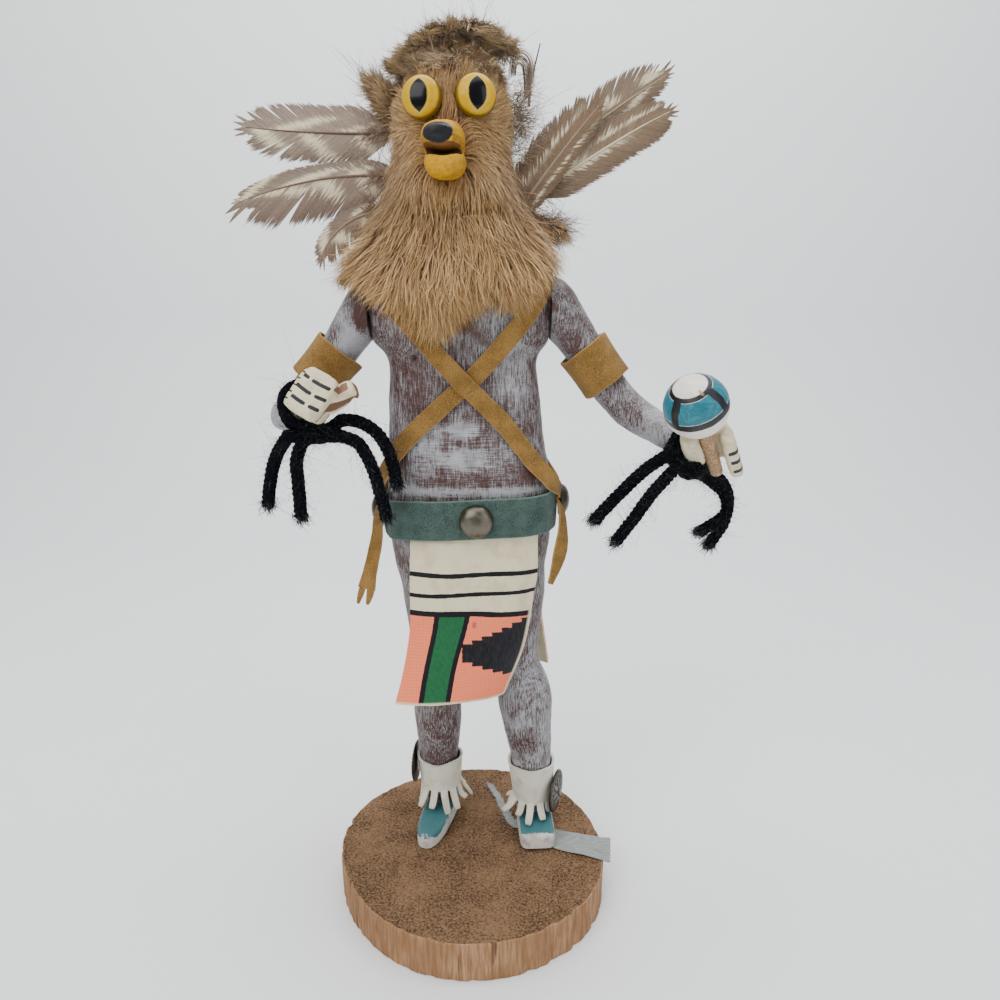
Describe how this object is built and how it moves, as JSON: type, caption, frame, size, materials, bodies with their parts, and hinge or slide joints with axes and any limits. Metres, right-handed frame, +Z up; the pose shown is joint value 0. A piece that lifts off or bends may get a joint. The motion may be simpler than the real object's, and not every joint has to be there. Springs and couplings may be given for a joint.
{
  "type": "kachina doll",
  "caption": "Carved and painted kachina doll: an animal dancer with fur head, barred feathers, leather kilt and straps, yarn-tied wrists and a rattle, standing on a slice of log.",
  "frame": {"origin": "centre of the log slice's flat underside", "axes": "+Z up along the standing figure; the figure faces -Y; +X is towards the figure's own left hand, which holds the rattle"},
  "size_m": [0.1928, 0.1096, 0.3362],
  "materials": {
    "painted_wood": "maroon-brown paint with a worn white dry-brushed coat",
    "log_wood": "raw sawn end grain, weathered split sides",
    "moccasin_paint": "teal paint with worn white edges",
    "rattle_paint": "satin turquoise, black and white paint",
    "bare_wood": "bare, lightly stained",
    "tan_suede": "golden-brown suede",
    "green_suede": "green suede",
    "painted_leather": "smooth cream leather with painted design",
    "white_leather": "smooth white leather",
    "aged_steel": "dark antiqued, polished on the high spots",
    "tan_fur": "soft golden-tan animal fur",
    "dark_fur": "reddish-brown animal fur",
    "muzzle_paint": "yellow ochre paint with a gloss black nose",
    "cat_eye": "clear gloss dome over a yellow iris and slit pupil",
    "feather": "barred grey-brown and cream feather",
    "black_yarn": "fuzzy blue-black wool yarn",
    "grey_tape": "old grey tape, frayed at one end"
  },
  "bodies": {
    "root": {"body_and_head": "painted_wood", "log_slice_base": "log_wood", "right_moccasin": "moccasin_paint", "left_moccasin": "moccasin_paint", "right_arm": "painted_wood", "left_arm": "painted_wood", "rattle_ball": "rattle_paint", "rattle_stick": "bare_wood", "right_armband": "tan_suede", "left_armband": "tan_suede", "belt": "green_suede", "shoulder_strap_upper": "tan_suede", "shoulder_strap_lower": "tan_suede", "belt_stud_front": "aged_steel", "belt_stud_left": "aged_steel", "belt_stud_right": "aged_steel", "kilt_front_panel": "painted_leather", "kilt_back_panel": "painted_leather", "right_leg_cuff": "white_leather", "left_leg_cuff": "white_leather", "right_concho": "aged_steel", "left_concho": "aged_steel", "fur_face_and_beard": "tan_fur", "fur_crown_tuft": "tan_fur", "fur_ear_tuft": "tan_fur", "fur_neck_ruff": "dark_fur", "muzzle": "muzzle_paint", "right_eye": "cat_eye", "left_eye": "cat_eye", "feather_right_1": "feather", "feather_right_2": "feather", "feather_right_3": "feather", "feather_left_1": "feather", "feather_left_2": "feather", "feather_left_3": "feather", "feather_curled_plume": "feather", "feather_bare_quill": "feather", "wrist_yarn_right": "black_yarn", "wrist_yarn_left": "black_yarn", "yarn_end_right_1": "black_yarn", "yarn_end_right_2": "black_yarn", "yarn_end_right_3": "black_yarn", "yarn_end_right_4": "black_yarn", "yarn_end_left_1": "black_yarn", "yarn_end_left_2": "black_yarn", "yarn_end_left_3": "black_yarn", "yarn_end_left_4": "black_yarn", "tape_strip": "grey_tape"}
  },
  "joints": []
}
